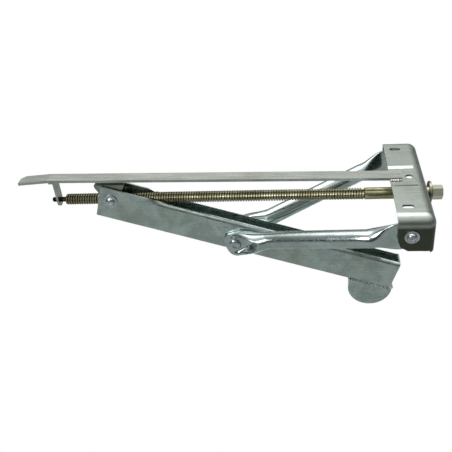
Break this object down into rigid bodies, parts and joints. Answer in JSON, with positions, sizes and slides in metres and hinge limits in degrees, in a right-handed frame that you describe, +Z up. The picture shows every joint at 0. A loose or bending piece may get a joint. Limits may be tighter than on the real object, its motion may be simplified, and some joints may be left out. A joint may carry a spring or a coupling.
{
  "type": "screw drop-down jack",
  "caption": "Screw-wound drop-down jack: flat strap over a lead screw, U-channel leg with rocker foot, two tube stays and a slotted mounting bracket.",
  "frame": {"origin": "middle of the bracket's mounting plane, halfway between the two slots", "axes": "+X along the lead screw towards the hex, +Y across the jack, +Z up to the vehicle"},
  "size_m": [0.6515, 0.2406, 0.2448],
  "materials": {
    "zinc_bracket": "bright zinc-plated pressed sheet, lightly scratched",
    "zinc_strap": "zinc-plated flat bar",
    "zinc_leg": "zinc-plated channel, mottled",
    "zinc_tube": "zinc-plated drawn tube, satin",
    "yellow_screw": "yellow-passivated zinc, greasy",
    "fasteners": "bright zinc-plated fasteners",
    "weld_bead": "weld metal under zinc plate"
  },
  "bodies": {
    "frame": {"mounting_bracket": "zinc_bracket", "top_strap": "zinc_strap", "strap_welds": "weld_bead", "end_tab": "zinc_bracket", "tab_weld": "weld_bead", "pivot_bolts": "fasteners", "pivot_washers": "fasteners", "pivot_spacers": "fasteners", "pivot_nuts": "fasteners"},
    "screw": {"lead_screw": "yellow_screw", "hex_drive_head": "yellow_screw", "thrust_washer": "yellow_screw", "thrust_collar": "yellow_screw", "collar_pin": "fasteners"},
    "nut": {"drive_nut": "yellow_screw", "nut_saddle": "zinc_bracket", "trunnion_rivets": "fasteners", "trunnion_washers": "fasteners"},
    "leg": {"leg_channel": "zinc_leg", "leg_end_plate": "zinc_leg", "mid_pivot_pin": "fasteners", "mid_pivot_sleeve": "fasteners", "foot_cheeks": "zinc_leg", "foot_sole": "zinc_leg", "foot_welds": "weld_bead"},
    "stay_near": {"stay_near": "zinc_tube", "mid_rivet_near": "fasteners"},
    "stay_far": {"stay_far": "zinc_tube", "mid_rivet_far": "fasteners"}
  },
  "joints": [
    {"name": "screw_turn", "type": "hinge", "parent": "frame", "child": "screw", "pos_m": [0, 0, -0.0295], "axis": [-1, 0, 0], "range_deg": [0, 21028.29]},
    {"name": "nut_slide", "type": "slide", "parent": "frame", "child": "nut", "axis": [1, 0, 0], "range_m": [0, 0.23365]},
    {"name": "leg_swing", "type": "hinge", "parent": "nut", "child": "leg", "pos_m": [-0.4437, 0, -0.0255], "axis": [0, 1, 0], "range_deg": [0, 57]},
    {"name": "stay_near_swing", "type": "hinge", "parent": "frame", "child": "stay_near", "pos_m": [0.0033, 0, -0.0305], "axis": [0, -1, 0], "range_deg": [0, 31.65]},
    {"name": "stay_far_swing", "type": "hinge", "parent": "frame", "child": "stay_far", "pos_m": [0.0033, 0, -0.0305], "axis": [0, -1, 0], "range_deg": [0, 31.65]}
  ],
  "couplings": [
    {"joint": "screw_turn", "follows": "nut_slide", "rad_per_m": 1570.8},
    {"joint": "leg_swing", "follows": "nut_slide", "rad_per_m": 4.2579},
    {"joint": "stay_near_swing", "follows": "nut_slide", "rad_per_m": 2.3642},
    {"joint": "stay_far_swing", "follows": "nut_slide", "rad_per_m": 2.3642}
  ]
}
